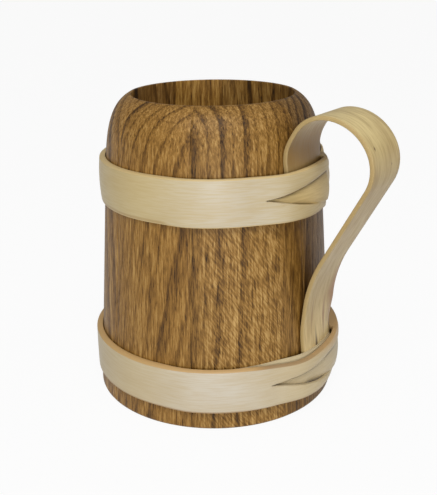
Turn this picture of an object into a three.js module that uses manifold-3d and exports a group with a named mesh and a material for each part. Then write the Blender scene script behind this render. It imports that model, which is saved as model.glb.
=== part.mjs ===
// A wooden tankard, in millimetres: oak staves round a tongued bottom board, bound by two
// wooden hoops that lock into themselves, with a bent strip for a handle.
// +Z is up, the origin is the centre of the foot, and +X points to the handle.
import * as THREE from 'three';
import { mergeVertices } from 'three/addons/utils/BufferGeometryUtils.js';
import Module from 'manifold-3d';

const wasm = await Module();
wasm.setup();

const { lerp, smoothstep, clamp, degToRad, radToDeg } = THREE.MathUtils;

// Clearance between pieces that seat on each other
const FIT = 0.3;

// Body of staves: a cone with a rounded shoulder and a thin lip
const HEIGHT = 145;
const FOOT_RADIUS = 59.1;
const FOOT_ROUND = 2.3;
const SHOULDER_Z = 113.4;
const SHOULDER_RADIUS = 51.3;
const SHOULDER_RISE = 18.6;
const LIP_RADIUS = 39.1;
const LIP_WIDTH = 1.1;
const LIP_SLOPE = 28;
const LIP_REACH = 8.9;
const WALL = 11;
const FIRST_SEAM_ANGLE = -110;
const STAVE_ANGLES = [44, 59, 42, 42, 41, 39, 46];
const SEAM_GAP = 0.3;
const TURN_SEGMENTS = 48;
const CURVE_POINTS = 8;

// Bottom board, with a tongue round its edge that sits in a groove of the staves
const BOTTOM_THICK = 10;
const GROOVE_Z = 3.5;
const GROOVE_WIDTH = 4;
const GROOVE_DEPTH = 3.5;

// Hoops: lower edge, width up the body and thickness of each strip
const UPPER_HOOP_Z = 96.2;
const UPPER_HOOP_WIDTH = 20.8;
const UPPER_HOOP_THICK = 2.7;
const LOWER_HOOP_Z = 10.2;
const LOWER_HOOP_WIDTH = 20.6;
const LOWER_HOOP_THICK = 2.5;
const HOOP_STEP = 6;
const HOOP_MEET_ANGLE = 230;

// Lock of a hoop: its tongue, one end, goes through a slit near the other end, between two prongs.
// The slit opens up and down from the middle of the strip, and the prongs rise and drop with it.
const UPPER_SLIT_UP = 5.8;
const UPPER_SLIT_DOWN = 7.6;
const UPPER_PRONG_RISE = 2.6;
const UPPER_PRONG_DROP = 1;
const UPPER_TONGUE_HEIGHT = 15;
const UPPER_TIP_HEIGHT = 3;
const LOWER_SLIT_UP = 4.2;
const LOWER_SLIT_DOWN = 7.6;
const LOWER_PRONG_RISE = 2.8;
const LOWER_PRONG_DROP = -0.6;
const LOWER_TONGUE_HEIGHT = 20.6;
const LOWER_TIP_HEIGHT = 18;
const SLIT_TIP_HEIGHT = 0.4;
const SLIT_POINT = 1.25;
const PRONG_THICK = 1.4;
const TONGUE_THICK = 1.7;
const TONGUE_TIP_THICK = 1.4;

// Places along a lock, in degrees round the body from the start of the slit
const UPPER_SLIT_START_ANGLE = -31;
const LOWER_SLIT_START_ANGLE = -30;
const SLIT_ANGLE = 90;
const SPREAD_ANGLE = 120;
const CROSSING_FROM_ANGLE = 34;
const CROSSING_TO_ANGLE = 60;
const TONGUE_TUCK_ANGLE = 34;
const NECK_FADE_ANGLE = 6;
const TAIL_TUCK_ANGLE = 14;
const LAP_FADE_ANGLE = 18;

// How a hoop eases off the body to pass over the handle, in degrees before and after it
const UPPER_EASE_BEFORE_ANGLE = 20;
const UPPER_EASE_AFTER_ANGLE = 10;
const LOWER_EASE_BEFORE_ANGLE = 18;
const LOWER_EASE_AFTER_ANGLE = 60;
const HANDLE_MARGIN = 1;

// Handle: a flat strip, from under the upper hoop over its crown and down to the lower hoop,
// wider towards its foot
const HANDLE_WIDTH = 26.4;
const HANDLE_FOOT_WIDTH = 30.4;
const HANDLE_FOOT_Z = 70;
const HANDLE_THICK = 2.1;
const HANDLE_RISE_Z = 124.6;
const CROWN_RADIUS = 16.7;
const CROWN_END_HEADING = 2;
const REACH_RADIUS = 21.4;
const REACH_END_HEADING = -59;
const GRIP_RADIUS = 18.7;
const GRIP_END_HEADING = -120;
const HEEL_RADIUS = 67;
const HANDLE_TUCK = 4;
const HANDLE_LEAN = 4.8;
const HANDLE_LEAN_Z = 75;
const CUP_FADE = 16;
const HANDLE_STEPS = 44;
const HANDLE_ROWS = 4;

// Materials, one kind of wood for each kind of piece
const OAK = { color: 0x96703f, roughness: 0.55, metalness: 0 };
const HOOP_WOOD = { color: 0xd9c9a0, roughness: 0.45, metalness: 0 };
const HANDLE_WOOD = { color: 0xcdb583, roughness: 0.5, metalness: 0 };

const tankard = new THREE.Group();

function addPiece(name, geometry, wood) {
  const piece = new THREE.Mesh(geometry, new THREE.MeshStandardMaterial(wood));
  piece.name = name;
  tankard.add(piece);
}

function toSolid(geometry) {
  const bare = geometry.clone();
  bare.deleteAttribute('normal');
  bare.deleteAttribute('uv');
  const merged = mergeVertices(bare);
  const vertProperties = Float32Array.from(merged.attributes.position.array);
  const triVerts = Uint32Array.from(merged.index.array);
  return new wasm.Manifold(new wasm.Mesh({ numProp: 3, vertProperties, triVerts }));
}

function toGeometry(solid) {
  const mesh = solid.getMesh();
  const geometry = new THREE.BufferGeometry();
  geometry.setAttribute('position', new THREE.BufferAttribute(mesh.vertProperties, 3));
  geometry.setIndex(new THREE.BufferAttribute(mesh.triVerts, 1));
  geometry.computeVertexNormals();
  return geometry;
}

// A box whose three unit coordinates are taken to a place in space by a function
function shapedBox(steps, rows, place) {
  const box = new THREE.BoxGeometry(1, 1, 1, steps, rows, 1);
  const corner = new THREE.Vector3();
  const position = box.attributes.position;
  for (let i = 0; i < position.count; i += 1) {
    corner.fromBufferAttribute(position, i).addScalar(0.5);
    position.setXYZ(i, ...place(corner.x, corner.y, corner.z));
  }
  return box;
}

// Round the axis at an azimuth in degrees
function onTurn(azimuth, radius, z) {
  const angle = degToRad(azimuth);
  return [radius * Math.cos(angle), radius * Math.sin(angle), z];
}

// Staves

const MOUTH_RADIUS = LIP_RADIUS - LIP_WIDTH;
const BODY_SLOPE = (FOOT_RADIUS - SHOULDER_RADIUS) / SHOULDER_Z;
const bodyRadius = (z) => FOOT_RADIUS - BODY_SLOPE * z;
const innerRadius = (z) => lerp(FOOT_RADIUS - WALL, MOUTH_RADIUS, z / HEIGHT);
const GROOVE_TOP = GROOVE_Z + GROOVE_WIDTH;

function staveProfile() {
  const slope = degToRad(LIP_SLOPE);
  const outline = new THREE.Path();
  outline.moveTo(innerRadius(0), 0);
  outline.lineTo(FOOT_RADIUS - FOOT_ROUND, 0);
  outline.quadraticCurveTo(FOOT_RADIUS, 0, bodyRadius(FOOT_ROUND), FOOT_ROUND);
  outline.lineTo(SHOULDER_RADIUS, SHOULDER_Z);
  outline.bezierCurveTo(
    SHOULDER_RADIUS - BODY_SLOPE * SHOULDER_RISE, SHOULDER_Z + SHOULDER_RISE,
    LIP_RADIUS + LIP_REACH * Math.cos(slope), HEIGHT - LIP_REACH * Math.sin(slope),
    LIP_RADIUS, HEIGHT,
  );
  outline.lineTo(MOUTH_RADIUS, HEIGHT);
  outline.lineTo(innerRadius(GROOVE_TOP), GROOVE_TOP);
  outline.lineTo(innerRadius(GROOVE_TOP) + GROOVE_DEPTH, GROOVE_TOP);
  outline.lineTo(innerRadius(GROOVE_Z) + GROOVE_DEPTH, GROOVE_Z);
  outline.lineTo(innerRadius(GROOVE_Z), GROOVE_Z);
  outline.lineTo(innerRadius(0), 0);
  return outline.getPoints(CURVE_POINTS);
}

// The part of the ring between two seams: each side stands off its seam by half the gap
function staveWedge(from, to) {
  const half = degToRad((to - from) / 2);
  const apex = onTurn((from + to) / 2, SEAM_GAP / 2 / Math.sin(half), 0);
  const reach = 2 * FOOT_RADIUS;
  const outline = new THREE.Shape([[0, 0], onTurn(from, reach, 0), onTurn(to, reach, 0)]
    .map(([x, y]) => new THREE.Vector2(x + apex[0], y + apex[1])));
  const wedge = new THREE.ExtrudeGeometry(outline, { depth: 2 * HEIGHT, bevelEnabled: false });
  return wedge.translate(0, 0, -HEIGHT / 2);
}

function addStaves() {
  const ring = toSolid(new THREE.LatheGeometry(staveProfile(), TURN_SEGMENTS).rotateX(Math.PI / 2));
  const closing = STAVE_ANGLES.reduce((rest, angle) => rest - angle, 360);
  let seam = FIRST_SEAM_ANGLE;
  [...STAVE_ANGLES, closing].forEach((angle, i) => {
    const stave = ring.intersect(toSolid(staveWedge(seam, seam + angle)));
    addPiece(`stave_${i + 1}`, toGeometry(stave), OAK);
    seam += angle;
  });
}

// Bottom board

function addBottomBoard() {
  const tongueLow = GROOVE_Z + FIT;
  const tongueHigh = GROOVE_TOP - FIT;
  const edge = (z, reach) => new THREE.Vector2(innerRadius(z) + reach - FIT, z);
  const profile = [
    new THREE.Vector2(0, 0),
    edge(0, 0),
    edge(tongueLow, 0),
    edge(tongueLow, GROOVE_DEPTH),
    edge(tongueHigh, GROOVE_DEPTH),
    edge(tongueHigh, 0),
    edge(BOTTOM_THICK, 0),
    new THREE.Vector2(0, BOTTOM_THICK),
  ];
  addPiece('bottom_board', new THREE.LatheGeometry(profile, TURN_SEGMENTS).rotateX(Math.PI / 2), OAK);
}

// Handle

const HANDLE_TOP_END = UPPER_HOOP_Z + HANDLE_TUCK;
const HANDLE_LOW_END = LOWER_HOOP_Z + HANDLE_TUCK;
const seatOnBody = (z) => new THREE.Vector2(bodyRadius(z) + FIT + HANDLE_THICK / 2, z);
const toward = (heading) => new THREE.Vector2(Math.cos(degToRad(heading)), Math.sin(degToRad(heading)));
const leftOf = (heading) => toward(heading + 90);

// Draws the middle of the strip in the plane of the handle, out from the axis and up
class Pen {
  constructor(place, heading) {
    this.place = place.clone();
    this.heading = heading;
    this.route = new THREE.Path().moveTo(place.x, place.y);
  }

  run(length) {
    this.place.addScaledVector(toward(this.heading), length);
    this.route.lineTo(this.place.x, this.place.y);
  }

  bend(radius, heading) {
    const side = Math.sign(heading - this.heading);
    const centre = this.place.clone().addScaledVector(leftOf(this.heading), side * radius);
    const from = degToRad(this.heading - 90 * side);
    const to = degToRad(heading - 90 * side);
    this.route.absarc(centre.x, centre.y, radius, from, to, side < 0);
    this.place = centre.addScaledVector(leftOf(heading), -side * radius);
    this.heading = heading;
  }
}

// Both ends lie along the body
function handleRoute() {
  const upBody = 90 + radToDeg(Math.atan(BODY_SLOPE));
  const downBody = upBody - 180;
  const pen = new Pen(seatOnBody(HANDLE_TOP_END), upBody);
  pen.run((HANDLE_RISE_Z - HANDLE_TOP_END) / Math.sin(degToRad(upBody)));
  pen.bend(CROWN_RADIUS, CROWN_END_HEADING);
  pen.bend(REACH_RADIUS, REACH_END_HEADING);
  pen.bend(GRIP_RADIUS, GRIP_END_HEADING);
  // The two straight runs are as long as it takes to end under the lower hoop
  const grip = toward(GRIP_END_HEADING);
  const heel = toward(downBody);
  const heelBend = leftOf(GRIP_END_HEADING).sub(leftOf(downBody)).multiplyScalar(HEEL_RADIUS);
  const left = seatOnBody(HANDLE_LOW_END).sub(pen.place).sub(heelBend);
  pen.run(left.cross(heel) / grip.cross(heel));
  pen.bend(HEEL_RADIUS, downBody);
  pen.run(grip.cross(left) / grip.cross(heel));
  return pen.route;
}

// The strip leans sideways as it rises, and widens towards its foot
const handleShift = (z) => (HANDLE_LEAN_Z - z) * Math.tan(degToRad(HANDLE_LEAN));
const handleWidth = (z) => lerp(HANDLE_FOOT_WIDTH, HANDLE_WIDTH, smoothstep(z, 0, HANDLE_FOOT_Z));

// The ends are cupped round the body, and the bow between them is flat across
function addHandle() {
  const route = handleRoute();
  const length = route.getLength();
  const topLap = UPPER_HOOP_WIDTH + UPPER_PRONG_RISE - HANDLE_TUCK;
  const lowLap = LOWER_HOOP_WIDTH + LOWER_PRONG_RISE - HANDLE_TUCK;
  const place = (along, across, through) => {
    const run = along * length;
    const middle = route.getPointAt(along);
    const tangent = route.getTangentAt(along);
    const off = (through - 0.5) * HANDLE_THICK;
    const x = middle.x - tangent.y * off;
    const z = middle.y + tangent.x * off;
    const y = (across - 0.5) * handleWidth(middle.y) + handleShift(middle.y);
    const fromTop = 1 - smoothstep(run, topLap, topLap + CUP_FADE);
    const fromLow = 1 - smoothstep(length - run, lowLap, lowLap + CUP_FADE);
    const sag = middle.x - Math.sqrt(middle.x ** 2 - y ** 2);
    return [x - Math.max(fromTop, fromLow) * sag, y, z];
  };
  addPiece('handle', shapedBox(HANDLE_STEPS, HANDLE_ROWS, place), HANDLE_WOOD);
}

// Hoops

const UPPER_HOOP = {
  name: 'upper_hoop',
  low: UPPER_HOOP_Z,
  width: UPPER_HOOP_WIDTH,
  thick: UPPER_HOOP_THICK,
  slitStart: UPPER_SLIT_START_ANGLE,
  slitUp: UPPER_SLIT_UP,
  slitDown: UPPER_SLIT_DOWN,
  rise: UPPER_PRONG_RISE,
  drop: UPPER_PRONG_DROP,
  tongueHeight: UPPER_TONGUE_HEIGHT,
  tipHeight: UPPER_TIP_HEIGHT,
  easeBefore: UPPER_EASE_BEFORE_ANGLE,
  easeAfter: UPPER_EASE_AFTER_ANGLE,
};

const LOWER_HOOP = {
  name: 'lower_hoop',
  low: LOWER_HOOP_Z,
  width: LOWER_HOOP_WIDTH,
  thick: LOWER_HOOP_THICK,
  slitStart: LOWER_SLIT_START_ANGLE,
  slitUp: LOWER_SLIT_UP,
  slitDown: LOWER_SLIT_DOWN,
  rise: LOWER_PRONG_RISE,
  drop: LOWER_PRONG_DROP,
  tongueHeight: LOWER_TONGUE_HEIGHT,
  tipHeight: LOWER_TIP_HEIGHT,
  easeBefore: LOWER_EASE_BEFORE_ANGLE,
  easeAfter: LOWER_EASE_AFTER_ANGLE,
};

// Inside of a hoop: on the body, and eased over the end of the handle that it holds
function hoopSeat(hoop, azimuth, z) {
  const radius = bodyRadius(z) + FIT;
  const middle = radToDeg(Math.asin(handleShift(hoop.low + hoop.width / 2) / radius));
  const halfWidth = radToDeg((handleWidth(z) / 2 + HANDLE_MARGIN) / radius);
  const ease = azimuth < middle ? hoop.easeBefore : hoop.easeAfter;
  const over = 1 - smoothstep(Math.abs(azimuth - middle), halfWidth, halfWidth + ease);
  return radius + over * (HANDLE_THICK + FIT);
}

// The strip goes round once and laps over itself: the tongue starts under the slotted end, comes
// out through the slit and runs on round the back to the slotted end
function makeHoop(hoop) {
  const middle = hoop.low + hoop.width / 2;
  const arch = (turn, angle) => Math.sin(Math.PI * clamp(turn / angle, 0, 1));
  const slitEdge = (turn, opening) => SLIT_TIP_HEIGHT / 2 + opening * arch(turn, SLIT_ANGLE) ** SLIT_POINT;
  const prongEdge = (turn, spread) => hoop.width / 2 + spread * arch(turn, SPREAD_ANGLE) ** 2;
  const crossed = (turn) => smoothstep(turn, CROSSING_FROM_ANGLE, CROSSING_TO_ANGLE);
  const tailEnd = SLIT_ANGLE + TAIL_TUCK_ANGLE;

  // The tongue is as narrow as the slit while it goes through, and past it as wide as the hoop
  const tongueEdge = (turn, opening) => {
    const head = lerp(hoop.tipHeight, hoop.tongueHeight, smoothstep(turn, -TONGUE_TUCK_ANGLE, 0)) / 2;
    const neck = slitEdge(turn, opening) - FIT;
    const inSlit = smoothstep(turn, CROSSING_FROM_ANGLE - NECK_FADE_ANGLE, CROSSING_FROM_ANGLE);
    const past = smoothstep(turn, CROSSING_TO_ANGLE, SLIT_ANGLE);
    return lerp(lerp(head, neck, inSlit), hoop.width / 2, past);
  };

  // A point of the strip: thinned and set off where it laps over itself, elsewhere upright outside
  const onStrip = (turn, z, through, lapped, lapThick, off) => {
    const azimuth = hoop.slitStart + turn;
    const upright = hoop.thick + bodyRadius(middle) - bodyRadius(z);
    const thick = lerp(upright, lapThick, lapped);
    return onTurn(azimuth, hoopSeat(hoop, azimuth, z) + lapped * off + through * thick, z);
  };

  const tongueEnd = (along, up, through) => {
    const turn = lerp(-TONGUE_TUCK_ANGLE, HOOP_MEET_ANGLE, along);
    const z = middle + lerp(-tongueEdge(turn, hoop.slitDown), tongueEdge(turn, hoop.slitUp), up);
    const lapped = 1 - smoothstep(turn, tailEnd, tailEnd + LAP_FADE_ANGLE);
    const thick = lerp(TONGUE_TIP_THICK, TONGUE_THICK, crossed(turn));
    return onStrip(turn, z, through, lapped, thick, crossed(turn) * (PRONG_THICK + FIT));
  };

  const slottedFrom = HOOP_MEET_ANGLE - 360 - HOOP_STEP / 2;
  const slottedEnd = (along, up, through) => {
    const turn = lerp(slottedFrom, tailEnd, along);
    const z = middle + lerp(-prongEdge(turn, hoop.drop), prongEdge(turn, hoop.rise), up);
    const lapped = smoothstep(turn, -TONGUE_TUCK_ANGLE - LAP_FADE_ANGLE, -TONGUE_TUCK_ANGLE);
    return onStrip(turn, z, through, lapped, PRONG_THICK, (1 - crossed(turn)) * (TONGUE_TIP_THICK + FIT));
  };

  const slit = (along, up, through) => {
    const turn = along * SLIT_ANGLE;
    const azimuth = hoop.slitStart + turn;
    const z = middle + lerp(-slitEdge(turn, hoop.slitDown), slitEdge(turn, hoop.slitUp), up);
    const off = lerp(-PRONG_THICK, TONGUE_TIP_THICK + FIT + 2 * PRONG_THICK, through);
    return onTurn(azimuth, hoopSeat(hoop, azimuth, z) + off, z);
  };

  const strip = (angle, place) => toSolid(shapedBox(Math.ceil(angle / HOOP_STEP), 1, place));
  const tongue = strip(HOOP_MEET_ANGLE + TONGUE_TUCK_ANGLE, tongueEnd);
  return strip(tailEnd - slottedFrom, slottedEnd).subtract(strip(SLIT_ANGLE, slit)).add(tongue);
}

addStaves();
addBottomBoard();
[UPPER_HOOP, LOWER_HOOP].forEach((hoop) => addPiece(hoop.name, toGeometry(makeHoop(hoop)), HOOP_WOOD));
addHandle();

export default tankard;
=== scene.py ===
# %% [markdown]
# # A wooden tankard
# Oak staves stand in a ring round a bottom board. Two pale strips of wood are bent round them as hoops, and
# each hoop locks into itself: its tongue goes through a slit near its other end. A third strip, bent to an
# open bow and held under both hoops, is the handle.
# The part's solids come in first. They stay where they are, and each piece that is made here takes the
# place of one of them, in the same frame: the origin is the centre of the foot, +Z is up and +X points to
# the handle.

# %% Load the frame
import math

import bmesh
import bpy
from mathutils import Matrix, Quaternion, Vector
from mathutils.geometry import interpolate_bezier


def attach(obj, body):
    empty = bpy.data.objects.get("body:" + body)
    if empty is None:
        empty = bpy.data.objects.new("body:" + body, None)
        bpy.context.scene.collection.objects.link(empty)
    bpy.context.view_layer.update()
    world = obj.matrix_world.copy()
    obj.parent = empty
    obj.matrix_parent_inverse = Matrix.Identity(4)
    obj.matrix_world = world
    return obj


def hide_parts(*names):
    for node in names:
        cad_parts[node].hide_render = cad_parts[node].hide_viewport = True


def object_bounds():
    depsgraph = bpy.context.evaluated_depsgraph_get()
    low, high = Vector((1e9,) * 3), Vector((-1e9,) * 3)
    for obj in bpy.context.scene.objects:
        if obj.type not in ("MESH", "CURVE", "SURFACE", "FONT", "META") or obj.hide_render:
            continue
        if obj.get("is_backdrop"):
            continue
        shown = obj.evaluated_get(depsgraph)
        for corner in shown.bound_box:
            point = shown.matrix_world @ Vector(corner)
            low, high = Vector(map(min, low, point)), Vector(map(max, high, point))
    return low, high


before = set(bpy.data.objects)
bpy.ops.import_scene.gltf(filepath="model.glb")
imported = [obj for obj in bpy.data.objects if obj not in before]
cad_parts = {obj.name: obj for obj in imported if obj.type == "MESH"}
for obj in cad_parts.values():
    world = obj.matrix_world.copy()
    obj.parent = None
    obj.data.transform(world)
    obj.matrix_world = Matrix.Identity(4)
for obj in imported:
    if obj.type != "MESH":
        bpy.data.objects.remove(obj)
cad_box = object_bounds()
print("nodes to dress:", ", ".join(sorted(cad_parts)))

# %% [markdown]
# ## Camera
# The picture is taken from a little above the rim and close by, so the mouth shows as a narrow oval and the
# body narrows downwards. The camera could be aimed by eye. Here it is placed from numbers instead: how far
# it is from the tankard's axis, how high, how far it tips down, and a slight turn about its own line of
# sight. The lens follows from the focal length in pixels.

# %% Camera
PHOTO_WIDTH = 437
PHOTO_HEIGHT = 495
EYE_DISTANCE = 0.3767
EYE_HEIGHT = 0.2039
EYE_PITCH = 0.3471
EYE_ROLL = 0.0115
HANDLE_TURN = math.radians(54.5)
FOCAL_PIXELS = 803
SENSOR_WIDTH = 36
NEAREST_SEEN = 0.01
AXIS_PIXEL = 214.45

front = Vector((math.cos(HANDLE_TURN), -math.sin(HANDLE_TURN), 0))
right = Vector((math.sin(HANDLE_TURN), math.cos(HANDLE_TURN), 0))
up = Vector((0, 0, 1))

lens = bpy.data.cameras.new("photo_lens")
lens.sensor_width = SENSOR_WIDTH
lens.lens = FOCAL_PIXELS * SENSOR_WIDTH / PHOTO_HEIGHT
lens.shift_x = (PHOTO_WIDTH / 2 - AXIS_PIXEL) / PHOTO_HEIGHT
lens.clip_start = NEAREST_SEEN
camera = bpy.data.objects.new("photo_camera", lens)
bpy.context.scene.collection.objects.link(camera)
camera.location = front * EYE_DISTANCE + up * EYE_HEIGHT
sight = -front * math.cos(EYE_PITCH) - up * math.sin(EYE_PITCH)
camera.rotation_mode = "QUATERNION"
camera.rotation_quaternion = sight.to_track_quat("-Z", "Y") @ Quaternion((0, 0, 1), -EYE_ROLL)
bpy.context.scene.camera = camera
bpy.context.scene.view_settings.view_transform = "Standard"
print("lens", round(lens.lens, 1), "mm at", [round(x, 3) for x in camera.location])

# %% [markdown]
# ## Shader maths
# Wood is mostly arithmetic on where a point lies in the board, and chains of Math nodes are hard to read.
# So a small class wraps a socket, and its operators add the nodes. A finish is a material with one method
# that makes any other node: first the node's settings, then the values or links of its sockets.

# %% Sockets that can be added and multiplied
class Value:
    def __init__(self, finish, socket):
        self.finish = finish
        self.socket = socket

    def output(self, name):
        return Value(self.finish, self.socket.node.outputs[name])

    def math(self, operation, first, second=0.0):
        return self.finish.node("ShaderNodeMath", {"operation": operation}, {0: first, 1: second})

    def __add__(self, other):
        return self.math("ADD", self, other)

    def __sub__(self, other):
        return self.math("SUBTRACT", self, other)

    def __rsub__(self, other):
        return self.math("SUBTRACT", other, self)

    def __mul__(self, other):
        return self.math("MULTIPLY", self, other)

    def __truediv__(self, other):
        return self.math("DIVIDE", self, other)

    __radd__ = __add__
    __rmul__ = __mul__

    def floor(self):
        return self.math("FLOOR", self)

    def root(self):
        return self.math("SQRT", self)

    def size(self):
        return self.math("ABSOLUTE", self)

    def most(self, other):
        return self.math("MAXIMUM", self, other)

    def fade(self, start, end, low=0.0, high=1.0):
        """Runs smoothly from low at start to high at end."""
        sockets = {"Value": self, "From Min": start, "From Max": end, "To Min": low, "To Max": high}
        return self.finish.node("ShaderNodeMapRange", {"interpolation_type": "SMOOTHSTEP"}, sockets)


class Finish:
    def __init__(self, name, shader="ShaderNodeBsdfPrincipled"):
        self.material = bpy.data.materials.new(name)
        self.material.use_nodes = True
        self.tree = self.material.node_tree
        self.tree.nodes.clear()
        self.ending = self.tree.nodes.new("ShaderNodeOutputMaterial")
        self.shader = self.tree.nodes.new(shader)
        self.tree.links.new(self.shader.outputs[0], self.ending.inputs["Surface"])

    def feed(self, socket, value):
        if isinstance(value, Value):
            self.tree.links.new(value.socket, socket)
        else:
            socket.default_value = value

    def node(self, kind, settings=None, sockets=None, out=0):
        node = self.tree.nodes.new(kind)
        for name, value in (settings or {}).items():
            if name == "stops":
                self.set_stops(node.color_ramp, value)
            else:
                setattr(node, name, value)
        for name, value in (sockets or {}).items():
            self.feed(node.inputs[name], value)
        return Value(self, node.outputs[out])

    def set_stops(self, ramp, stops):
        for position, colour in stops[2:]:
            ramp.elements.new(position)
        for element, (position, colour) in zip(ramp.elements, stops):
            element.position = position
            element.color = colour

    def surface(self, **sockets):
        for name, value in sockets.items():
            self.feed(self.shader.inputs[name.replace("_", " ")], value)


print("shader helpers ready")

# %% [markdown]
# ## Floor and light
# The tankard stands on white in soft studio light. The floor is a plain pale sheet. To the camera it is
# mostly white by itself, so that it meets the white background without a line, and the rest of it is an
# ordinary surface that takes the tankard's faint shadow. A big soft lamp above the camera lights the
# shoulder, a smaller one low in front gives the satin light on the hoops, and an even sky fills in the
# sides.

# %% Floor
def paint(red, green, blue):
    """A colour as a painting program writes it, from 0 to 255, as Blender's linear colour."""
    def linear(part):
        part = part / 255
        return part / 12.92 if part < 0.04045 else ((part + 0.055) / 1.055) ** 2.4
    return (linear(red), linear(green), linear(blue), 1.0)


FLOOR_SIZE = 8.0
FLOOR_WHITE = 0.93
FLOOR_GREY = (236, 236, 236)

sheet = Finish("pale_floor", "ShaderNodeMixShader")
light_path = sheet.node("ShaderNodeLightPath", out="Is Camera Ray")
seen = light_path.most(light_path.output("Is Glossy Ray")).most(light_path.output("Is Transmission Ray"))
card = sheet.node("ShaderNodeBsdfDiffuse", {}, {"Color": paint(*FLOOR_GREY)})
glow = sheet.node("ShaderNodeEmission", {}, {"Color": (1, 1, 1, 1), "Strength": 1.0})
sheet.feed(sheet.shader.inputs[0], seen * FLOOR_WHITE)
sheet.feed(sheet.shader.inputs[1], card)
sheet.feed(sheet.shader.inputs[2], glow)

bm = bmesh.new()
bmesh.ops.create_grid(bm, x_segments=1, y_segments=1, size=FLOOR_SIZE)
floor_mesh = bpy.data.meshes.new("floor")
bm.to_mesh(floor_mesh)
bm.free()
floor_mesh.materials.append(sheet.material)
floor = bpy.data.objects.new("floor", floor_mesh)
bpy.context.scene.collection.objects.link(floor)
floor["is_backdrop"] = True
print("floor", FLOOR_SIZE * 2, "m across")

# %% Light
SKY_LIGHT = 0.3
LIT_HEIGHT = 0.07

sky = bpy.data.worlds.new("studio")
bpy.context.scene.world = sky
sky.use_nodes = True
air = sky.node_tree
air.nodes.clear()
ending = air.nodes.new("ShaderNodeOutputWorld")
mix = air.nodes.new("ShaderNodeMixShader")
ray = air.nodes.new("ShaderNodeLightPath")
backdrop = air.nodes.new("ShaderNodeBackground")
soft = air.nodes.new("ShaderNodeBackground")
for background, strength in ((backdrop, 1.0), (soft, SKY_LIGHT)):
    background.inputs["Color"].default_value = (1, 1, 1, 1)
    background.inputs["Strength"].default_value = strength
air.links.new(ray.outputs["Is Camera Ray"], mix.inputs[0])
air.links.new(soft.outputs[0], mix.inputs[1])
air.links.new(backdrop.outputs[0], mix.inputs[2])
air.links.new(mix.outputs[0], ending.inputs["Surface"])


def lamp(name, place, size, watts):
    data = bpy.data.lights.new(name, "AREA")
    data.shape = "DISK"
    data.size = size
    data.energy = watts
    thing = bpy.data.objects.new(name, data)
    bpy.context.scene.collection.objects.link(thing)
    thing.location = place
    aim = up * LIT_HEIGHT - place
    thing.rotation_mode = "QUATERNION"
    thing.rotation_quaternion = aim.to_track_quat("-Z", "Y")
    print(name, watts, "W at", [round(x, 2) for x in place])


lamp("key_lamp", front * 0.7 + up * 0.95, size=0.5, watts=6.6)
lamp("low_lamp", front * 0.95 + right * 0.03 + up * 0.08, size=0.35, watts=3.2)

# %% [markdown]
# ## Finishing a piece
# Every piece is worked in millimetres, like the real one on the bench. At the end it goes to metres, its
# normals are turned outwards, it is shaded smooth but for its sharp edges, and it takes the place of its
# solid.

# %% From the bench to the frame
def lerp(low, high, share):
    return low + (high - low) * share


def smoothstep(x, start, end):
    share = min(max((x - start) / (end - start), 0.0), 1.0)
    return share * share * (3 - 2 * share)


MM = 0.001
SHARP_EDGE = math.radians(40)


def set_in_place(bm, name, node, wood):
    bmesh.ops.scale(bm, vec=(MM, MM, MM), verts=bm.verts)
    bmesh.ops.recalc_face_normals(bm, faces=bm.faces)
    for face in bm.faces:
        face.smooth = True
    open_edges = sum(1 for edge in bm.edges if not edge.is_manifold)
    mesh = bpy.data.meshes.new(name)
    bm.to_mesh(mesh)
    bm.free()
    mesh.set_sharp_from_angle(angle=SHARP_EDGE)
    mesh.materials.append(wood.material)
    piece = bpy.data.objects.new(name, mesh)
    bpy.context.scene.collection.objects.link(piece)
    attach(piece, "root")
    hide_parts(node)
    print(name, len(mesh.polygons), "faces,", open_edges, "open edges")


# %% [markdown]
# ## Oak
# Each stave is a board of its own. Growth rings are tubes round the pith, the middle of the tree, and the
# pith of a board lies somewhere outside it. On the straight part of the body the tubes show as upright
# lines, and where the shoulder curves in, the same tubes come out as round arches. So the rings are worked
# out in the solid, as the distance from the pith. An image wrapped round the body could not do that. A ring
# starts with a row of pores, which look like a fine dotted line, and fades. Over the rings lie fine threads
# and short pores along the board, and pale flecks, where the cut met the rays of the tree. On one board
# the wood furthest from its pith is darker.

# %% Oak finish
OAK_DEEP = (46, 28, 4)
OAK_BROWN = (100, 68, 20)
OAK_GOLD = (148, 110, 52)
OAK_PALE = (196, 160, 100)
RING_LEVEL = 110
RING_RIPPLE = 1.2
RING_START = 0.14
RING_WIDTHS = (0.4, 0.95)
FAINTEST_RING = 0.45
SHOULDER_LINES = (94, 116, 1.0, 1.5)
NOISE_SPREAD = (0.36, 0.64)
DASH_SPREAD = (0.55, 0.65)
FLECKS_ACROSS = 1.15
FLECKS_ALONG = 0.17
FLECK_MIDDLE = 0.45
FLECKS_AT_TOP = (102, 118, 1.0, 0.3)
MIDDLE_TONE = 0.622
BROAD_SHARE = 0.28
THREAD_SHARE = 0.27
HAIR_SHARE = 0.24
PORE_SHARE = 0.34
FLECK_SHARE = 0.28
DARKER_SHARE = 0.14


def tinted(colour, tint):
    return paint(*(min(part * share, 255) for part, share in zip(colour, tint)))


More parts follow.
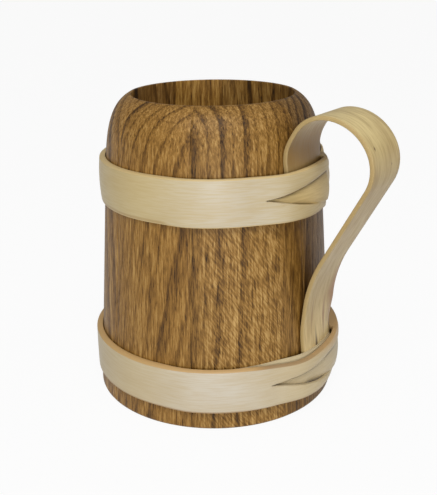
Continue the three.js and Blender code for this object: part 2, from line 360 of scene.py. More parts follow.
def oak(name, board):
    """Oak for one board: where its pith is, how its rings follow each other, its flecks and its tone."""
    wood = Finish(name)
    place = wood.node("ShaderNodeTexCoord", out="Object")
    grain = wood.node("ShaderNodeMapping", {}, {"Vector": place, "Scale": (1000, 1000, 1000)})
    east = wood.node("ShaderNodeSeparateXYZ", {}, {0: grain}, "X")
    north = east.output("Y")
    height = east.output("Z")

    def noise(stretch, detail, roughness=0.5, shift=0.0):
        """Noise with so many grains to the millimetre in X, Y and Z."""
        where = wood.node("ShaderNodeMapping", {}, {
            "Vector": grain, "Scale": stretch, "Location": (board["seed"] + shift, shift, 0)})
        return wood.node("ShaderNodeTexNoise", {}, {
            "Vector": where, "Scale": 1.0, "Detail": detail, "Roughness": roughness})

    # Rings: tubes round the pith that lean a little, each with its own strength and width
    wander = noise((0.06, 0.06, 0.012), 2.0) - 0.5
    ripple = noise((0.4, 0.4, 0.035), 2.0, 0.5, 19.0) - 0.5
    from_pith = east - board["pith"][0], north - board["pith"][1]
    distance = (from_pith[0] * from_pith[0] + from_pith[1] * from_pith[1]).root()
    depth = distance - (height - RING_LEVEL) * board["lean"] + wander * board["wave"] + ripple * RING_RIPPLE
    ring = depth / board["spacing"] + board["shift"]
    index = ring.floor()
    phase = ring - index
    chance = wood.node("ShaderNodeTexWhiteNoise", {"noise_dimensions": "1D"}, {"W": index + board["seed"]})
    fading = (phase / chance.fade(0.2, 1.0, *RING_WIDTHS)).fade(0.1, 1.0)
    band = phase.fade(0.0, RING_START) * (1 - fading)
    line = band * chance.fade(0.0, 1.0, FAINTEST_RING, 1.0) * height.fade(*SHOULDER_LINES)

    # Fine threads along the board, and pores, most of them along the lines of the rings
    broad = noise((0.22, 0.22, 0.006), 3.0, 0.6, 57.0) - 0.5
    threads = noise((1.0, 1.0, 0.012), 4.0, 0.7, 11.0).fade(*NOISE_SPREAD) - 0.5
    hairs = noise((1.5, 1.5, 0.09), 4.0, 0.75, 73.0).fade(*NOISE_SPREAD) - 0.5
    dashes = noise((1.6, 1.6, 0.14), 3.0, 0.6, 31.0).fade(*DASH_SPREAD)
    pores = dashes * (0.5 + 0.5 * line)

    # Flecks: pale, short and aslant, between two rings, on the straight part of the body
    tilt = math.radians(board["fleck_tilt"])
    around = north * math.cos(board["facing"]) - east * math.sin(board["facing"])
    aslant = around * math.cos(tilt) + height * math.sin(tilt)
    along = height * math.cos(tilt) - around * math.sin(tilt)
    fleck_place = wood.node("ShaderNodeCombineXYZ", {}, {
        0: aslant * FLECKS_ACROSS, 1: along * FLECKS_ALONG, 2: board["seed"]})
    fleck_noise = wood.node("ShaderNodeTexNoise", {}, {"Vector": fleck_place, "Scale": 1.0, "Detail": 2.0})
    first, full, last, gone = board["fleck_rings"]
    flecked = distance.fade(first, full) * (1 - distance.fade(last, gone)) * height.fade(*FLECKS_AT_TOP)
    flecks = (fleck_noise.fade(*NOISE_SPREAD) - FLECK_MIDDLE) * flecked * board["fleck"]

    darker = distance.fade(*board["dark_rings"], 0.0, DARKER_SHARE)
    tone = (MIDDLE_TONE + broad * BROAD_SHARE + threads * THREAD_SHARE + hairs * HAIR_SHARE
            - line * board["contrast"] - pores * PORE_SHARE + flecks * FLECK_SHARE - darker)
    colour = wood.node("ShaderNodeValToRGB", {"stops": [
        (0.0, tinted(OAK_DEEP, board["tint"])),
        (0.34, tinted(OAK_BROWN, board["tint"])),
        (0.64, tinted(OAK_GOLD, board["tint"])),
        (1.0, tinted(OAK_PALE, board["tint"])),
    ]}, {"Fac": tone})
    grooves = wood.node("ShaderNodeBump", {}, {
        "Height": hairs * 0.6 + flecks * 0.3 - pores - line * 0.4, "Strength": 0.22, "Distance": 0.0003})
    wood.surface(Base_Color=colour, Roughness=0.50 + pores * 0.2, Specular_IOR_Level=0.3, Normal=grooves)
    return wood


print("oak ready")

# %% [markdown]
# ## Staves
# A cooper shapes each stave so that the ring closes, and turns the outside of the ring on a lathe. A stave
# could be cut from a whole turned ring. Here it is spun by itself instead: its section is one face, with
# the foot and the lip rounded by a vertex bevel and the shoulder on a Bezier curve, and the spin carries it
# from one joint to the next. The ends of the spin are the joints, and a hair's width between neighbours
# lets them show as fine lines.

# %% Section of a stave
HEIGHT = 145
FOOT_RADIUS = 59.1
FOOT_ROUND = 1.9
SHOULDER_Z = 113.4
SHOULDER_RADIUS = 51.3
SHOULDER_RISE = 18.6
LIP_RADIUS = 39.1
LIP_WIDTH = 1.1
LIP_SLOPE = math.radians(28)
LIP_REACH = 8.9
LIP_ROUND = 0.4
WALL = 11
GROOVE_Z = 3.5
GROOVE_WIDTH = 4
GROOVE_DEPTH = 3.5
MOUTH_RADIUS = LIP_RADIUS - LIP_WIDTH
BODY_SLOPE = (FOOT_RADIUS - SHOULDER_RADIUS) / SHOULDER_Z
SHOULDER_POINTS = 26


def body_radius(z):
    return FOOT_RADIUS - BODY_SLOPE * z


def inner_radius(z):
    return lerp(FOOT_RADIUS - WALL, MOUTH_RADIUS, z / HEIGHT)


def shoulder():
    start = Vector((SHOULDER_RADIUS, 0, SHOULDER_Z))
    rise = Vector((SHOULDER_RADIUS - BODY_SLOPE * SHOULDER_RISE, 0, SHOULDER_Z + SHOULDER_RISE))
    lip = Vector((LIP_RADIUS, 0, HEIGHT))
    reach = lip + LIP_REACH * Vector((math.cos(LIP_SLOPE), 0, -math.sin(LIP_SLOPE)))
    return interpolate_bezier(start, rise, reach, lip, SHOULDER_POINTS)


def stave_section(bm):
    """The section as one face in the plane of X and Z."""
    groove_top = GROOVE_Z + GROOVE_WIDTH
    corners = [(inner_radius(0), 0, 0), (FOOT_RADIUS, 0, 0), *shoulder(), (MOUTH_RADIUS, 0, HEIGHT)]
    corners += [(inner_radius(groove_top) + deep, 0, groove_top) for deep in (0, GROOVE_DEPTH)]
    corners += [(inner_radius(GROOVE_Z) + deep, 0, GROOVE_Z) for deep in (GROOVE_DEPTH, 0)]
    face = bm.faces.new([bm.verts.new(corner) for corner in corners])
    foot = [vert for vert in face.verts if vert.co.z == 0 and vert.co.x > FOOT_RADIUS - WALL / 2]
    bmesh.ops.bevel(bm, geom=foot, offset=FOOT_ROUND, segments=6, profile=0.5, affect="VERTICES",
                    material=-1)
    lip = [vert for vert in bm.verts if vert.co.z == HEIGHT]
    bmesh.ops.bevel(bm, geom=lip, offset=LIP_ROUND, segments=3, profile=0.5, affect="VERTICES", material=-1)
    return list(bm.faces)


bm = bmesh.new()
print("the section has", len(stave_section(bm)[0].verts), "corners")
bm.free()

# %% Staves
SEAMS = [-110, -66, -7, 35, 77, 118, 157, 203, 250]
SEAM_GAP = 0.06
SEAM_EASE = 0.12
SPIN_STEP = 1.5

PLAIN_BOARD = dict(fleck=0, fleck_tilt=0, fleck_rings=(0, 1, 2, 3), dark_rings=(200, 201))
BOARDS = [
    dict(PLAIN_BOARD, pith=(-56, 19), spacing=4.6, shift=0.1, lean=0.035, wave=3, contrast=0.32,
         tint=(1.0, 0.98, 0.92), seed=3.0),
    dict(pith=(16, -62), spacing=5.2, shift=0.9, lean=0.06, wave=3, contrast=0.26, fleck=1, fleck_tilt=33,
         fleck_rings=(12, 26, 52, 59), dark_rings=(53, 59), tint=(1.0, 0.99, 0.96), seed=11.0),
    dict(PLAIN_BOARD, pith=(10, -40), spacing=4.2, shift=0.5, lean=0.01, wave=4, contrast=0.36,
         tint=(0.84, 0.83, 0.86), seed=23.0),
    dict(PLAIN_BOARD, pith=(-30, 10), spacing=4.4, shift=0.3, lean=0.02, wave=4, contrast=0.32, fleck=0.5,
         fleck_tilt=-25, fleck_rings=(70, 78, 90, 96), tint=(0.96, 0.94, 0.88), seed=37.0),
    dict(PLAIN_BOARD, pith=(40, -10), spacing=4.0, shift=0.7, lean=-0.01, wave=4, contrast=0.27,
         tint=(0.98, 0.96, 0.88), seed=41.0),
    dict(PLAIN_BOARD, pith=(-8, 90), spacing=4.6, shift=0.1, lean=0.02, wave=3, contrast=0.27,
         tint=(1.08, 1.05, 0.92), seed=53.0),
    dict(PLAIN_BOARD, pith=(20, 20), spacing=3.8, shift=0.4, lean=0.02, wave=4, contrast=0.36,
         tint=(0.9, 0.86, 0.8), seed=67.0),
    dict(PLAIN_BOARD, pith=(30, -10), spacing=4.8, shift=0.6, lean=0.0, wave=3, contrast=0.24,
         tint=(1.06, 1.05, 1.04), seed=79.0),
]

for number, board in enumerate(BOARDS, start=1):
    start, end = SEAMS[number - 1:number + 1]
    board["facing"] = math.radians((start + end) / 2)
    bm = bmesh.new()
    section = stave_section(bm)
    clear = math.degrees(SEAM_GAP / 2 / SHOULDER_RADIUS)
    to_start = Quaternion((0, 0, 1), math.radians(start + clear))
    bmesh.ops.rotate(bm, verts=bm.verts, matrix=to_start.to_matrix())
    sweep = math.radians(end - start - 2 * clear)
    bmesh.ops.spin(bm, geom=section + list(bm.edges) + list(bm.verts), axis=(0, 0, 1), cent=(0, 0, 0),
                   angle=sweep, steps=round(math.degrees(sweep) / SPIN_STEP), use_merge=False)
    joints = [face for face in bm.faces if len(face.verts) > 4]
    arrises = list({edge for face in joints for edge in face.edges})
    bmesh.ops.bevel(bm, geom=arrises, offset=SEAM_EASE, segments=2, profile=0.5, affect="EDGES",
                    material=-1)
    name = f"stave_{number}"
    set_in_place(bm, "oak_" + name, name, oak("oak_of_" + name, board))

# %% [markdown]
# ## Bottom board
# The bottom is a round board. A tongue round its edge sits in the groove of the staves, so it can't drop
# out. It is plain turned work: half its section, spun all the way round.

# %% Bottom board
BOTTOM_THICK = 10
FIT = 0.3
BOARD_EASE = 0.4
BOARD_STEPS = 144
BOARD_WELD = 0.001
# An edge that turns by more than this, in radians, is eased
RIGHT_ANGLED = 1

bm = bmesh.new()
tongue_low = GROOVE_Z + FIT
tongue_high = GROOVE_Z + GROOVE_WIDTH - FIT
edge = [(0, 0), (tongue_low, 0), (tongue_low, GROOVE_DEPTH), (tongue_high, GROOVE_DEPTH), (tongue_high, 0),
        (BOTTOM_THICK, 0)]
corners = [(0, 0, 0), *((inner_radius(z) + deep - FIT, 0, z) for z, deep in edge), (0, 0, BOTTOM_THICK)]
verts = [bm.verts.new(corner) for corner in corners]
for low, high in zip(verts, verts[1:]):
    bm.edges.new((low, high))
bmesh.ops.spin(bm, geom=list(bm.verts) + list(bm.edges), axis=(0, 0, 1), cent=(0, 0, 0), angle=math.tau,
               steps=BOARD_STEPS, use_merge=True)
bmesh.ops.remove_doubles(bm, verts=bm.verts, dist=BOARD_WELD)
bmesh.ops.recalc_face_normals(bm, faces=bm.faces)
rims = [edge for edge in bm.edges if edge.calc_face_angle(0) > RIGHT_ANGLED]
bmesh.ops.bevel(bm, geom=rims, offset=BOARD_EASE, segments=2, profile=0.5, affect="EDGES", material=-1)
bottom_oak = oak("oak_of_bottom_board", dict(
    PLAIN_BOARD, pith=(-70, 30), spacing=4.4, shift=0.0, lean=0, wave=6, contrast=0.34, facing=0,
    tint=(0.96, 0.93, 0.88), seed=97.0))
set_in_place(bm, "oak_bottom_board", "bottom_board", bottom_oak)

# %% [markdown]
# ## Pale strip wood
# Hoops and handle are split from pale, straight wood and bent while wet, so their grain runs along the
# strip whichever way it bends. Each strip is therefore made flat first, and every point keeps its place on
# the flat strip in an attribute: how far along, how far across and how deep. The finish reads that, and not
# the place in the room. Two more attributes mark the cut edges, which differ from the shaved faces, and the
# painted shadow on the tongue along the edges of the prongs, where they shade it. The wood itself changes
# along a strip, and it has stains, knots and cracks, so each strip has a short list of tints and marks; some
# tints are painted light and shade instead: a painted highlight on the front of each hoop, painted light on
# the handle's crown and painted shade on its grip and under its crown.

# %% Strip finish
FIBRES_SPREAD = (0.38, 0.66)
BANDS_SPREAD = (0.45, 0.75)
STREAK_SHARE = 0.42
CLOUDS = (0.35, 0.7, 0.0, 0.3)
CUT_SHARE = 0.85
BORDER_SHARE = 0.6
# Painted shadow: the dark brown laid on the tongue along a prong's edge, where the prong shades it
PRONG_SHADOW_COLOUR = (64, 40, 14)
STEEP_SIDE = (0.2, 0.5)


def strip_wood(name, face, streak, cut, border, fine, seed, tints_and_painted_light=(), marks=()):
    """Pale wood with grain along the strip, so many fibres to the millimetre. A tint changes the colour
    round
    a place along the strip: where, how far it reaches, strength and colour. Some tints are changes in the
    wood, others are painted light and shade. A mark is a stain or a crack: where along and across, half its
    length, half its width, strength and colour. Places along a hoop are in degrees of turn, along the handle
    in millimetres."""
    wood = Finish(name)
    flat = wood.node("ShaderNodeAttribute", {"attribute_name": "flat"}, {}, "Vector")
    along = wood.node("ShaderNodeSeparateXYZ", {}, {0: flat}, "X")
    across = along.output("Y")
    edge = wood.node("ShaderNodeAttribute", {"attribute_name": "edge"}, {}, "Fac")
    fold = wood.node("ShaderNodeAttribute", {"attribute_name": "fold"}, {}, "Fac")

    def noise(stretch, detail, shift):
        where = wood.node("ShaderNodeMapping", {}, {
            "Vector": flat, "Scale": stretch, "Location": (seed + shift, shift, 0)})
        return wood.node("ShaderNodeTexNoise", {}, {"Vector": where, "Scale": 1.0, "Detail": detail})

    def blend(share, first, second):
        return wood.node("ShaderNodeMix", {"data_type": "RGBA"}, {0: share, 6: first, 7: second}, 2)

    fibres = noise((0.1, fine, fine), 4.0, 0.0)
    bands = noise((0.010, 0.35, 0.3), 3.0, 17.0)
    clouds = noise((0.04, 0.09, 0.1), 3.0, 41.0)
    streaks = fibres.fade(*FIBRES_SPREAD) * 0.85 + bands.fade(*BANDS_SPREAD) * 0.15
    colour = paint(*face)
    # Each tint blends its colour in round its place along the strip: a change in the wood, or painted light
    # and shade
    for middle, reach, strength, tint in tints_and_painted_light:
        colour = blend((along - middle).size().fade(0.0, reach, strength, 0.0), colour, paint(*tint))
    colour = blend(streaks * STREAK_SHARE, colour, paint(*streak))
    colour = blend(clouds.fade(*CLOUDS), colour, paint(*streak))
    colour = blend(edge.fade(*STEEP_SIDE) * CUT_SHARE, colour, paint(*cut))
    beside_edge = edge.fade(0.02, 0.18) * (1 - edge.fade(0.3, 0.6))
    colour = blend(beside_edge * BORDER_SHARE, colour, paint(*border))
    for mark_along, mark_across, length, width, strength, stain in marks:
        far = ((along - mark_along) / length).size() + ((across - mark_across) / width).size()
        colour = blend(far.fade(0.2, 1.0, strength, 0.0), colour, paint(*stain))
    # Painted shadow on the tongue beside the prongs' edges
    colour = blend(fold, colour, paint(*PRONG_SHADOW_COLOUR))
    ridges = wood.node("ShaderNodeBump", {}, {"Height": fibres, "Strength": 0.10, "Distance": 0.0003})
    wood.surface(Base_Color=colour, Roughness=0.48 + streaks * 0.15 + edge * 0.1, Normal=ridges)
    wood.surface(Specular_IOR_Level=0.3, Coat_Weight=0.4, Coat_Roughness=0.38)
    return wood


def keep_flat_place(bm, on_rim, in_prong_shadow=lambda vert: 0.0):
    """Stores each point's place on the flat strip, how far it belongs to a cut edge, and how deep it lies in
    the painted shadow beside a prong.
    """
    bm.normal_update()
    flat = bm.verts.layers.float_vector.new("flat")
    edge = bm.verts.layers.float.new("edge")
    fold = bm.verts.layers.float.new("fold")
    for vert in bm.verts:
        vert[flat] = vert.co
        vert[edge] = smoothstep(abs(vert.normal.y), *STEEP_SIDE) * on_rim(vert)
        vert[fold] = in_prong_shadow(vert)


print("strip wood ready")

# %% [markdown]
# ## Hoops
# A hoop starts as one flat strip. One end is shaved to a tongue, the other is slit like a leaf. It goes
# once round the body and laps over itself: the tongue starts under the slit end, comes out through the slit
# and runs on over the two prongs, first the lower and then the upper. That could be drawn in its bent shape
# at once, but the flat strip is easier to check, so it is cut, thickened and bevelled flat and then bent.
# Angles along it are in degrees round the body, counted from the start of the slit; on the second time round
# they go on past 360.

# %% Edges and layers of a hoop
# Past this angle a place belongs to the slit end, before it to the tongue or the plain strip
HOOP_MEET = 230
SLIT_ANGLE = 90
SLIT_TIP_HEIGHT = 0.4
SLIT_POINT = 1.25
SLIT_BITE = 0.5
PRONG_THICK = 2
PRONG_TAIL_THICK = 0.9
CROSSING_SPAN = 26
DIP_FROM = -14
DIP_TO = 40
TONGUE_THICK = 2.2
TONGUE_TIP_THICK = 1
TONGUE_TUCK = 34
HEAD_FULL = 12
NECK_FADE = 6
TAIL_TUCK = 14
TAIL_END = SLIT_ANGLE + TAIL_TUCK
LAP_FADE = 18

UPPER_HOOP = dict(low=96.2, width=20.8, thick=2.6, crown=0.8, chamfer_height=0.5, chamfer_depth=0.8,
                  tip=3, head=15, low_crown=1.9, slit_start=-31, slit_up=5.8, slit_down=7.6,
                  rise=2.6, drop=1, dip=0, spread_from=0, spread_to=120, cut_at_slit=1,
                  cross_up=37, cross_down=18, ease_before=20, ease_after=10)
LOWER_HOOP = dict(low=10.2, width=20.6, thick=2.3, crown=0.1, chamfer_height=0.9, chamfer_depth=1.6,
                  tip=18, head=20.6, low_crown=1.8, slit_start=-30, slit_up=4.2, slit_down=7.6,
                  rise=5, drop=-0.6, dip=1.7, spread_from=36, spread_to=98, cut_at_slit=0.25,
                  cross_up=50, cross_down=22, ease_before=18, ease_after=60)


def along_slit(turn):
    return math.sin(math.pi * min(max(turn / SLIT_ANGLE, 0.0), 1.0)) ** SLIT_POINT


def swell(turn, start, end):
    """Rises from 0 at start to 1 halfway, and falls to 0 at end."""
    return math.sin(math.pi * min(max((turn - start) / (end - start), 0.0), 1.0)) ** 2


def slit_edge(hoop, turn, side):
    """How far the edge of the slit is from the middle of the strip, above it or below it."""
    return SLIT_TIP_HEIGHT / 2 + hoop["slit_up" if side > 0 else "slit_down"] * along_slit(turn)


def strip_edge(hoop, turn, side):
    """How far an edge of the strip is from its middle: on the tongue, the plain strip or a prong."""
    half = hoop["width"] / 2
    if turn > HOOP_MEET:
        spread = swell(turn - 360, hoop["spread_from"], hoop["spread_to"])
        dip = swell(turn - 360, DIP_FROM, DIP_TO)
        return half + (hoop["rise"] * spread - hoop["dip"] * dip if side > 0 else hoop["drop"] * spread)
    head = lerp(hoop["tip"], hoop["head"], smoothstep(turn, -TONGUE_TUCK, HEAD_FULL)) / 2
    neck = slit_edge(hoop, turn, side) + SLIT_BITE
    start = hoop["cross_up" if side > 0 else "cross_down"]
    tongue = lerp(head, neck, smoothstep(turn, start - NECK_FADE, start))
    return lerp(tongue, half, smoothstep(turn, start + CROSSING_SPAN, SLIT_ANGLE))


def crossed(hoop, turn, side):
    """How far the tongue has come out past a prong."""
    start = hoop["cross_up" if side > 0 else "cross_down"]
    return smoothstep(turn, start, start + CROSSING_SPAN)


def lap(hoop, turn, up):
    """Where the strip laps over itself: how far it does, how thick it is there and how far it stands off.
    Up says where across the strip: -1 at its lower edge, 1 at its upper edge."""
    if turn > HOOP_MEET:
        lapped = smoothstep(turn - 360, -TONGUE_TUCK - LAP_FADE, -TONGUE_TUCK)
        under = crossed(hoop, turn - 360, up)
        return lapped, lerp(PRONG_THICK, PRONG_TAIL_THICK, under), (1 - under) * (TONGUE_TIP_THICK + FIT)
    lapped = 1 - smoothstep(turn, TAIL_END, TAIL_END + LAP_FADE)
    over = lerp(crossed(hoop, turn, -1), crossed(hoop, turn, 1), (up + 1) / 2)
    return lapped, lerp(TONGUE_TIP_THICK, TONGUE_THICK, over), over * (PRONG_TAIL_THICK + FIT)


for side, start in (("upper", LOWER_HOOP["cross_up"]), ("lower", LOWER_HOOP["cross_down"])):
    print("the lower hoop's tongue comes out past the", side, "prong from", start, "degrees on")

# %% Flat strip of a hoop
SLIT_OPENS = 4
PRONG_CROWN = 0.35
TONGUE_CROWN = 0.9
TONGUE_EDGE_THICK = 0.1
HALF_ROWS = 7


def flat_hoop(hoop):
    """The strip cut flat: X along it in degrees of turn, Y across and Z through it in millimetres."""
    middle = hoop["low"] + hoop["width"] / 2
    first, last = -TONGUE_TUCK, 360 + TAIL_END
    bm = bmesh.new()
    rows = 2 * HALF_ROWS + 1
    bmesh.ops.create_grid(bm, x_segments=last - first, y_segments=rows, size=0.5)
    slit = [face for face in bm.faces
            if abs(face.calc_center_median().y) < 0.5 / rows
            and 0 < lerp(first, last, face.calc_center_median().x + 0.5) - 360 < SLIT_ANGLE]
    bmesh.ops.delete(bm, geom=slit, context="FACES")
    up = bm.verts.layers.float.new("up")
    for vert in bm.verts:
        turn = lerp(first, last, vert.co.x + 0.5)
        side = math.copysign(1, vert.co.y)
        row = round((abs(vert.co.y) * 2 * rows - 1) / 2)
        rim = strip_edge(hoop, turn, side)
        inner = slit_edge(hoop, turn - 360, side)
        below_chamfer = rim - hoop["chamfer_height"]
        across = rim if row == HALF_ROWS else lerp(inner, below_chamfer, row / (HALF_ROWS - 1))
        vert[up] = side * row / HALF_ROWS
        vert.co = (turn, side * across, 0)
    raised = bmesh.ops.extrude_face_region(bm, geom=list(bm.faces), use_keep_orig=True)["geom"]
    for vert in (part for part in raised if isinstance(part, bmesh.types.BMVert)):
        upright = hoop["thick"] + body_radius(middle) - body_radius(middle + vert.co.y)
        lapped, thick, _ = lap(hoop, vert.co.x, vert[up])
        opened = min(1.0, SLIT_OPENS * along_slit(vert.co.x - 360))
        from_ridge = lerp(abs(vert[up]), abs(2 * abs(vert[up]) - 1), opened)
        tongue_crown = TONGUE_CROWN if vert[up] > 0 else hoop["low_crown"]
        tongue_crown = min(tongue_crown, thick - TONGUE_EDGE_THICK)
        lap_crown = PRONG_CROWN if vert.co.x > HOOP_MEET else tongue_crown
        crown = lerp(hoop["crown"], lap_crown, lapped) * from_ridge ** 2
        cut = hoop["chamfer_depth"] * lerp(1, thick / hoop["thick"], lapped) if vert[up] == 1 else 0
        vert.co.z = lerp(upright, thick, lapped) - crown - cut
    bmesh.ops.recalc_face_normals(bm, faces=bm.faces)
    return bm


bm = flat_hoop(UPPER_HOOP)
open_edges = [edge for edge in bm.edges if not edge.is_manifold]
print("flat strip:", len(bm.faces), "faces,", len(open_edges), "open edges")
bm.free()

# %% [markdown]
# The bend puts a flat point at its angle round the body. The strip lies on the body, and eases off it to
# pass over the end of the handle. Where it laps, the outer layer stands off by the thickness of the inner.
# Just past the handle the rim would stand off the body like an open pocket, so its inside is thickened
# there.

# %% Bend a hoop round the body
HANDLE_WIDTH = 26.4
HANDLE_FOOT_WIDTH = 30.4
HANDLE_FOOT_Z = 70
HANDLE_THICK = 2.1
HANDLE_MARGIN = 0.5
HANDLE_LEAN = math.radians(4.8)
HANDLE_LEAN_Z = 75
CLOSING_GAP = 0.1
CLOSING_FADE = 1
CLOSING_END = (42, 60)
CLOSING_RIM = (0.5, 0.8)


def handle_shift(z):
    return (HANDLE_LEAN_Z - z) * math.tan(HANDLE_LEAN)


def handle_width(z):
    return lerp(HANDLE_FOOT_WIDTH, HANDLE_WIDTH, smoothstep(z, 0, HANDLE_FOOT_Z))


def hoop_seat(hoop, azimuth, z):
    """Inside of a hoop: on the body, and eased over the handle."""
    radius = body_radius(z) + FIT
    middle = math.degrees(math.asin(handle_shift(hoop["low"] + hoop["width"] / 2) / radius))
    half = math.degrees((handle_width(z) / 2 + HANDLE_MARGIN) / radius)
    ease = hoop["ease_before"] if azimuth < middle else hoop["ease_after"]
    over = 1 - smoothstep(abs(azimuth - middle), half, half + ease)
    return radius + over * (HANDLE_THICK + FIT)


def closing(hoop, turn, up):
    """How far the inside of the upper prong's rim is thickened to the body, beside the handle."""
    if turn < HOOP_MEET:
        return 0.0
    azimuth = hoop["slit_start"] + turn - 360
    rim = hoop["low"] + hoop["width"]
    beside = math.degrees((handle_width(rim) / 2 + handle_shift(rim)) / body_radius(rim)) + CLOSING_GAP
    here = smoothstep(azimuth, beside, beside + CLOSING_FADE) * (1 - smoothstep(azimuth, *CLOSING_END))
    return here * smoothstep(up, *CLOSING_RIM)


def bend_round_body(bm, hoop):
    middle = hoop["low"] + hoop["width"] / 2
    up = bm.verts.layers.float["up"]
    for vert in bm.verts:
        turn, across, through = vert.co
        azimuth = (hoop["slit_start"] + turn + 180) % 360 - 180
        lapped, _, off = lap(hoop, turn, vert[up])
        z = middle + across
        seat = hoop_seat(hoop, azimuth, z) + lapped * off
        inside = 1 - min(1.0, through / PRONG_THICK)
        radius = lerp(seat, body_radius(z) + FIT, inside * closing(hoop, turn, vert[up])) + through
        angle = math.radians(azimuth)
        vert.co = (radius * math.cos(angle), radius * math.sin(angle), z)


stand_off = hoop_seat(LOWER_HOOP, 0, LOWER_HOOP["low"]) - body_radius(LOWER_HOOP["low"])
print("the lower hoop stands", round(stand_off, 1), "mm off the body where it passes over the handle")

# %% [markdown]
# Each hoop is cut flat, its edges are eased, its cut rim and the painted shadow beside the prongs of its
# lock are noted for the finish, and then it is bent. Noting them on the flat strip is simpler than finding
# them again on the bent one.

# %% Hoops
EDGE_SHARE = 18
# How far the painted shadow beside a prong reaches, in millimetres, and how much of it the lower prong casts
PRONG_SHADOW_REACH = 2.2
LOW_PRONG_SHADOW = 0.15
CUT_CHANGES = (335, 365)
CORNER = math.radians(35)


def cut_edge(hoop, turn):
    """How plainly the cut shows at the rim: not on the tongue, and less on a worn slit end."""
    if turn <= TAIL_END:
        return 0.0
    return lerp(1.0, hoop["cut_at_slit"], smoothstep(turn, *CUT_CHANGES))


def prong_shadow_depth(hoop, turn, across):
    """How deep a place on the tongue lies in the painted shadow beside a prong's edge, where the prong
    shades it.
    """
    side = math.copysign(1, across)
    inside = slit_edge(hoop, turn, side) - abs(across)
    if not 0 < turn < SLIT_ANGLE or inside < -SLIT_BITE:
        return 0.0
    under = 1 - crossed(hoop, turn, side)
    depth = under * (1 - smoothstep(inside, PRONG_SHADOW_REACH / 4, PRONG_SHADOW_REACH))
    return depth if side > 0 else depth * LOW_PRONG_SHADOW


def make_hoop(name, node, hoop, wood):
    bm = flat_hoop(hoop)
    arrises = [edge for edge in bm.edges if edge.calc_face_angle(0) > CORNER]
    bmesh.ops.bevel(bm, geom=arrises, offset=EDGE_SHARE, offset_type="PERCENT", segments=3, profile=0.5,
                    affect="EDGES", material=-1)
    up = bm.verts.layers.float["up"]
    last_row = 1 - 1 / HALF_ROWS
    keep_flat_place(bm, lambda vert: cut_edge(hoop, vert.co.x) if abs(vert[up]) > last_row else 0.0,
                    lambda vert: prong_shadow_depth(hoop, vert.co.x, vert.co.y))
    bend_round_body(bm, hoop)
    set_in_place(bm, name, node, wood)


# Upper hoop: the tint at 346 degrees is a painted highlight, a pale grey-white sheen on the front of the
# hoop; the tints at 30 and 405 degrees are a paler tone
upper_wood = strip_wood(
    "upper_hoop_wood", face=(196, 177, 130), streak=(184, 159, 106), cut=(208, 182, 128),
    border=(170, 140, 88), fine=1.7, seed=5.0,
    tints_and_painted_light=[(346, 52, 0.7, (196, 189, 176)), (30, 70, 0.8, (224, 198, 138)), (405, 45, 0.6, (218, 198, 150))])
make_hoop("pale_upper_hoop", "upper_hoop", UPPER_HOOP, upper_wood)
# Lower hoop: the tint at 336 degrees is a painted highlight, a pale grey-white sheen on the front of the
# hoop
lower_wood = strip_wood(
    "lower_hoop_wood", face=(197, 180, 143), streak=(186, 164, 122), cut=(198, 158, 98),
    border=(146, 106, 58), fine=1.7, seed=29.0,
    tints_and_painted_light=[(336, 45, 0.65, (204, 199, 190))], marks=[(418, 9.0, 50, 9, 0.9, (190, 152, 98))])
make_hoop("pale_lower_hoop", "lower_hoop", LOWER_HOOP, lower_wood)

# %% [markdown]
# ## Handle
# The handle is a strip of pale wood too, steamed and bent to an open bow. Its upper end stands under the
# upper hoop. From there it rises, turns over the crown, comes back in and runs down under the lower hoop.
# It could follow a drawn curve. Here its middle line is put together from straights and round bends, as a
# bending form is, and the flat strip is laid along it. Both ends are cupped to the round of the body, and
# the foot is wider, with a split and a few stains. Its colour is lighter over the crown, painted light, and
# darker on the grip and under the crown, painted shade; under the crown there is a brown stain as well.

# %% Middle line of the bow
HANDLE_TUCK = 4
UPPER_END = UPPER_HOOP["low"] + HANDLE_TUCK
LOWER_END = LOWER_HOOP["low"] + HANDLE_TUCK
HANDLE_RISE_Z = 124.6
# Each bend: its radius, and the heading at its end
BENDS = [(16.7, 2), (21.4, -59), (18.7, -120)]
HEEL_RADIUS = 67


def toward(heading):
    return Vector((math.cos(math.radians(heading)), math.sin(math.radians(heading))))


def left_of(heading):
    return toward(heading + 90)


class Bow:
    """A line of straights and bends in the plane of the handle: out from the axis, and up."""

    def __init__(self, place, heading):
        self.place = place
        self.heading = heading
        self.runs = []
        self.length = 0

    def straight(self, length):
        self.runs.append((self.length, self.place.copy(), self.heading, 0))
        self.place = self.place + toward(self.heading) * length
        self.length += length

    def bend(self, radius, heading):
        turn = heading - self.heading
        signed = math.copysign(radius, turn)
        self.runs.append((self.length, self.place.copy(), self.heading, signed))
        self.place = self.place + (left_of(self.heading) - left_of(heading)) * signed
        self.length += radius * math.radians(abs(turn))
        self.heading = heading

    def at(self, run):
        """The point and the heading at a distance along the line."""
        start, place, heading, signed = next(r for r in reversed(self.runs) if run >= r[0] or r[0] == 0)
        if signed == 0:
            return place + toward(heading) * (run - start), heading
        now = heading + math.degrees((run - start) / signed)
        return place + (left_of(heading) - left_of(now)) * signed, now


def seat_on_body(z):
    return Vector((body_radius(z) + FIT + HANDLE_THICK / 2, z))


up_body = 90 + math.degrees(math.atan(BODY_SLOPE))
down_body = up_body - 180
bow = Bow(seat_on_body(UPPER_END), up_body)
bow.straight((HANDLE_RISE_Z - UPPER_END) / math.sin(math.radians(up_body)))
for radius, heading in BENDS:
    bow.bend(radius, heading)
grip = toward(bow.heading)
heel = toward(down_body)
left = seat_on_body(LOWER_END) - bow.place - (left_of(bow.heading) - left_of(down_body)) * HEEL_RADIUS
bow.straight(left.cross(heel) / grip.cross(heel))
bow.bend(HEEL_RADIUS, down_body)
bow.straight(grip.cross(left) / grip.cross(heel))
print("the strip of the handle is", round(bow.length), "mm long")

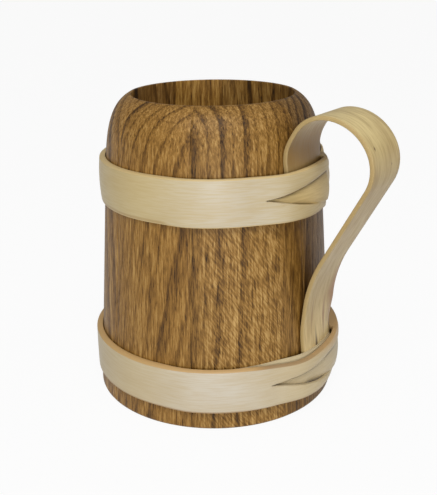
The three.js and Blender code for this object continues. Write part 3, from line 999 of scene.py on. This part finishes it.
# %% Handle
UPPER_LAP = UPPER_HOOP["width"] + UPPER_HOOP["rise"] - HANDLE_TUCK
LOWER_LAP = LOWER_HOOP["width"] + LOWER_HOOP["rise"] - HANDLE_TUCK
CUP_FADE = 16
HANDLE_EASE = 0.4
HANDLE_SHAVE = 0.2
HANDLE_STEPS = 240
HANDLE_ROWS = 10
# Tints along the handle, in millimetres from its upper end. At 60 it is lighter over the crown: painted
# light, where light falls from above. At 96 it is darker on the grip: painted shade. At 26, on the rising
# part under the crown, a brown stain darkened further as painted shade. At 186 it is lighter near the foot.
HANDLE_TINTS_AND_PAINTED_LIGHT = [
    (60.0, 44.0, 1.0, (232, 210, 150)),
    (186.0, 40.0, 1.0, (226, 202, 146)),
    (96.0, 30.0, 0.8, (174, 149, 92)),
    (26.0, 24.0, 0.75, (108, 74, 32)),
]
HANDLE_MARKS = [
    (75.5, -8.5, 1.8, 0.9, 0.9, (92, 62, 30)),
    (84.0, 4.2, 1.2, 0.7, 0.6, (92, 62, 30)),
    (188.0, -3.8, 20.0, 2.2, 1.0, (58, 34, 14)),
    (180.0, 11.8, 7.0, 1.4, 0.9, (84, 54, 26)),
    (160.0, 13.0, 34.0, 9.0, 0.9, (158, 114, 72)),
    (170.0, 4.0, 22.0, 2.0, 0.8, (150, 108, 66)),
    (166.0, -7.0, 20.0, 1.6, 0.6, (146, 112, 68)),
]

bm = bmesh.new()
bmesh.ops.create_grid(bm, x_segments=HANDLE_STEPS, y_segments=HANDLE_ROWS, size=0.5)
bmesh.ops.translate(bm, verts=bm.verts, vec=(0.5, 0, 0))
bmesh.ops.scale(bm, verts=bm.verts, vec=(bow.length, HANDLE_WIDTH, 1))
raised = bmesh.ops.extrude_face_region(bm, geom=list(bm.faces), use_keep_orig=True)["geom"]
lifted = [part for part in raised if isinstance(part, bmesh.types.BMVert)]
bmesh.ops.translate(bm, verts=lifted, vec=(0, 0, HANDLE_THICK - HANDLE_SHAVE))
bmesh.ops.recalc_face_normals(bm, faces=bm.faces)
arrises = [edge for edge in bm.edges if edge.calc_face_angle(0) > RIGHT_ANGLED]
bmesh.ops.bevel(bm, geom=arrises, offset=HANDLE_EASE, segments=3, profile=0.5, affect="EDGES", material=-1)
keep_flat_place(bm, lambda vert: 1.0)
for vert in bm.verts:
    run, across, through = vert.co
    middle, heading = bow.at(run)
    place = middle + left_of(heading) * (through - HANDLE_THICK / 2)
    y = across * handle_width(middle.y) / HANDLE_WIDTH + handle_shift(middle.y)
    from_top = 1 - smoothstep(run, UPPER_LAP, UPPER_LAP + CUP_FADE)
    from_low = 1 - smoothstep(bow.length - run, LOWER_LAP, LOWER_LAP + CUP_FADE)
    sag = middle.x - math.sqrt(middle.x ** 2 - y ** 2)
    vert.co = (place.x - max(from_top, from_low) * sag, y, place.y)
handle_wood = strip_wood(
    "handle_wood", face=(188, 164, 110), streak=(144, 110, 60), cut=(176, 150, 98),
    border=(220, 202, 158), fine=0.8, seed=61.0, tints_and_painted_light=HANDLE_TINTS_AND_PAINTED_LIGHT, marks=HANDLE_MARKS)
set_in_place(bm, "bent_handle", "handle", handle_wood)

# %% [markdown]
# ## Size
# The box of the solids and the box of the dressed tankard are both printed. The dressed
# tankard has to stay inside the box of its solids.

# %% Print both boxes
new_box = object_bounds()
boxes = {"cad": [list(corner) for corner in cad_box], "visual": [list(corner) for corner in new_box]}
for name, (low, high) in boxes.items():
    print(name, [round(1000 * x, 2) for x in low], [round(1000 * x, 2) for x in high])
